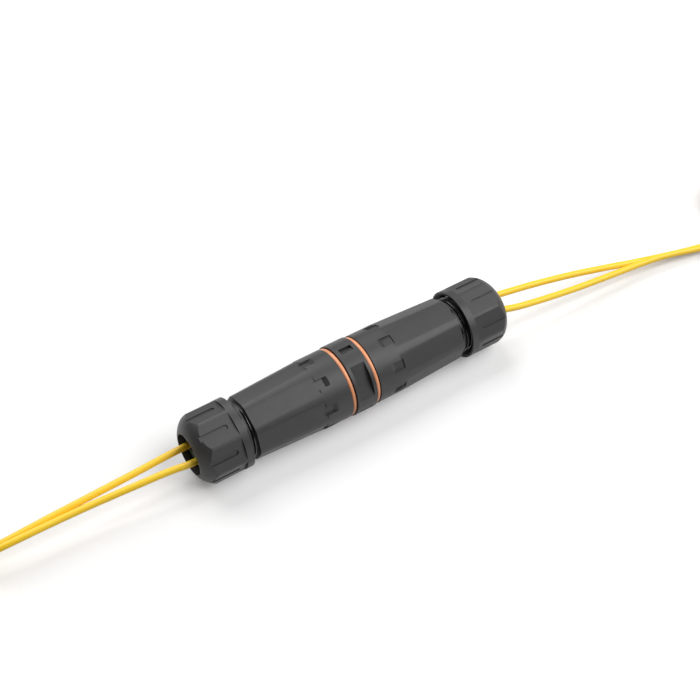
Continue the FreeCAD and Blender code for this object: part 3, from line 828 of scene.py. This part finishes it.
def boot_outline():
    """Neck, plain barrel and rings that get smaller towards the lead, then back along the bore."""
    shoulder = boot_low.x + BOOT_NECK_LENGTH
    outline = [(boot_low.x, BOOT_NECK), (shoulder, BOOT_NECK), (shoulder, BOOT_RADIUS)]
    first = shoulder + BOOT_PLAIN
    step = (boot_high.x - first) / BOOT_RINGS
    for index in range(BOOT_RINGS):
        radius = BOOT_RADIUS + (BOOT_TIP - BOOT_RADIUS) * (index + 1) / BOOT_RINGS
        start = first + step * index
        groove_end = start + BOOT_GROOVE_SHARE * step
        outline += [(start, radius), (start, radius - BOOT_GROOVE), (groove_end, radius - BOOT_GROOVE)]
        outline += [(groove_end, radius), (start + BOOT_RING_SHARE * step, radius)]
    return outline + [(boot_high.x, BOOT_TIP), (boot_high.x, BOOT_BORE), (boot_low.x, BOOT_BORE)]


for side, letter in PLUGS:
    boot_mesh = turned("boot", boot_outline(), BOOT_STEPS, SIDES[side], LETTERS[letter] * lead_offset)
    boot = finish_piece(f"sleeve_boot_{side}_{letter}", boot_mesh, blue_rubber, "coupling",
                        [f"boot_{side}_{letter}"])
    round_edges(boot, BOOT_ROUND)

# %% [markdown]
# A spring presses each ferrule forwards. Its solid is a plain tube. A curve with a bevel could be the
# wire, but what winds a thread can wind a spring as well, with a small round section that leaves gaps
# between its turns.

# %% Springs
spring_low, spring_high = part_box("ferrule_spring_right_a")
SPRING_WIRE = 0.2 * MM
SPRING_TURNS = 7
SPRING_STEPS = 24
WIRE_SIDES = 8
spring_start = spring_low.x + SPRING_WIRE
spring_radius = (spring_high.y - spring_low.y) / 2 - SPRING_WIRE
spring_pitch = (spring_high.x - spring_low.x - 2 * SPRING_WIRE) / SPRING_TURNS
wire_angles = [2 * math.pi * step / WIRE_SIDES for step in range(WIRE_SIDES)]
WIRE = [
    (spring_start + SPRING_WIRE * math.cos(angle), spring_radius + SPRING_WIRE * math.sin(angle))
    for angle in wire_angles
]
for side, letter in PLUGS:
    offset = LETTERS[letter] * lead_offset
    spring_mesh = wound("spring", WIRE, SPRING_TURNS, spring_pitch, SPRING_STEPS, SIDES[side], offset)
    finish_piece(f"coil_spring_{side}_{letter}", spring_mesh, steel, "coupling",
                 [f"ferrule_spring_{side}_{letter}"])

# %% [markdown]
# A grip is the blue outer sleeve of a plug, which slides back to free it. Its solid has the whole form,
# so the piece is a copy with rounded edges. A tie holds the turns of each coil. It could be a plain copy
# as well, but the solid coil stands higher there than the turns do, so the tie's top is drawn down on
# them.

# %% Grips and ties
GRIP_ROUND = 0.2 * MM
TIE_ROUND = 0.18 * MM
TIE_TOP = 13.6 * MM


def snug_band(side):
    """A tie drawn down on the turns that pass under it."""
    mesh = solid_copy(f"tie_{side}", "band")
    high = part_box(f"tie_{side}")[1]
    for vertex in mesh.vertices:
        if vertex.co.z > high.z / 2:
            vertex.co.z -= high.z - TIE_TOP
    return mesh


for side, letter in PLUGS:
    name = f"grip_{side}_{letter}"
    grip_mesh = solid_copy(name, "grip")
    grip = finish_piece(f"sleeve_{name}", grip_mesh, blue_plastic, name, [name])
    round_edges(grip, GRIP_ROUND)
for side in SIDES:
    tie = finish_piece(f"band_{side}", snug_band(side), tie_black, "coupling", [f"tie_{side}"])
    round_edges(tie, TIE_ROUND)

# %% [markdown]
# The other pieces inside are small and hidden: inserts, sleeves, ferrules with their holders, crimp
# bodies and plug frames. They could be copied and rounded too, but little of that would ever be seen, so
# their solids stay and get a finish. The solids that a piece stands for get theirs as well.

# %% Finishes of the solids
SOLID_FINISHES = {
    "adapter_insert": charcoal, "alignment_sleeve": ceramic, "plug_frame": white_plastic, "ferrule": ceramic,
    "ferrule_holder": steel, "ferrule_spring": steel, "crimp_body": steel, "grip": blue_plastic,
    "boot": blue_rubber, "cable_seal": green_rubber, "gland_nut": charcoal, "housing": charcoal,
    "coupling_body": charcoal, "o_ring": orange_rubber, "lead": yellow_jacket, "coil": yellow_jacket,
    "tie": tie_black,
}
for name, node in nodes.items():
    kinds = [kind for kind in SOLID_FINISHES if name == kind or name.startswith(kind + "_")]
    node.data.materials.clear()
    node.data.materials.append(SOLID_FINISHES[max(kinds, key=len)])
print(len(nodes), "solids of", len(SOLID_FINISHES), "kinds have a finish")

# %% [markdown]
# The coupler lies on a plain white sheet. One white floor would do for the camera, but it would throw so
# much light back that the dark plastic looked grey. So the floor is mixed by the kind of ray. The camera
# sees white paper with a faint shadow, and so do reflections. The light that comes back from it is that
# of a darker board, as when a photographer keeps white cards out of reach of the sides.

# %% Floor
FLOOR_SIZE = 6.0
FLOOR_GLOW = 0.18
PAPER_WHITE = (0.93, 0.93, 0.93, 1)
PAPER_ROUGHNESS = 0.9
BOARD_GREY = (0.35, 0.35, 0.35, 1)
floor_bm = bmesh.new()
bmesh.ops.create_grid(floor_bm, x_segments=1, y_segments=1, size=FLOOR_SIZE)
floor = bpy.data.objects.new("floor", mesh_from(floor_bm, "floor"))
sheet = Finish("white floor")
sheet.set(Base_Color=PAPER_WHITE, Roughness=PAPER_ROUGHNESS)
paper = Value(sheet, sheet.shader.outputs["BSDF"])
glow = sheet.node("ShaderNodeEmission", sockets={"Color": (1, 1, 1, 1), "Strength": 1.0})
white = sheet.node("ShaderNodeMixShader", sockets={0: FLOOR_GLOW, 1: paper, 2: glow})
board = sheet.node("ShaderNodeBsdfDiffuse", sockets={"Color": BOARD_GREY})
by_camera = sheet.node("ShaderNodeLightPath", output="Is Camera Ray")
by_gloss = sheet.node("ShaderNodeLightPath", output="Is Glossy Ray")
by_glass = sheet.node("ShaderNodeLightPath", output="Is Transmission Ray")
mixed = sheet.node("ShaderNodeMixShader", sockets={0: by_camera + by_gloss + by_glass, 1: board, 2: white})
sheet.tree.links.new(mixed.socket, sheet.tree.nodes["Material Output"].inputs["Surface"])
floor.data.materials.append(sheet.material)
bpy.context.scene.collection.objects.link(floor)
print("floor", 2 * FLOOR_SIZE, "m wide")

# %% [markdown]
# The photograph has soft shadows and no bright spots, so its lamps were large. A sky image could light
# the scene as softly, but two lamps can be moved one by one. One stands above and behind, so that the
# shadow falls to the front. A larger one stands at the front and right, so that whatever faces left stays
# dark. The Standard view transform keeps white paper white.

# %% Lamps and world
WORLD_STRENGTH = 0.04


def add_lamp(name, place, size, power):
    """A square soft lamp that looks at the middle of the coupler."""
    lamp = bpy.data.objects.new(name, bpy.data.lights.new(name, "AREA"))
    lamp.data.shape = "SQUARE"
    lamp.data.size = size
    lamp.data.energy = power
    lamp.location = place
    lamp.rotation_euler = (axis_point - lamp.location).to_track_quat("-Z", "Y").to_euler()
    bpy.context.scene.collection.objects.link(lamp)
    print(name, "of", power, "W")


add_lamp("back lamp", Vector((-0.05, 0.96, 1.15)), size=1.2, power=19)
add_lamp("front lamp", Vector((0.84, -0.64, 1.2)), size=1.4, power=29)
world = bpy.data.worlds.new("white room")
world.use_nodes = True
background = world.node_tree.nodes["Background"]
background.inputs["Color"].default_value = (1, 1, 1, 1)
background.inputs["Strength"].default_value = WORLD_STRENGTH
bpy.context.scene.world = world
bpy.context.scene.view_settings.view_transform = "Standard"

# %% [markdown]
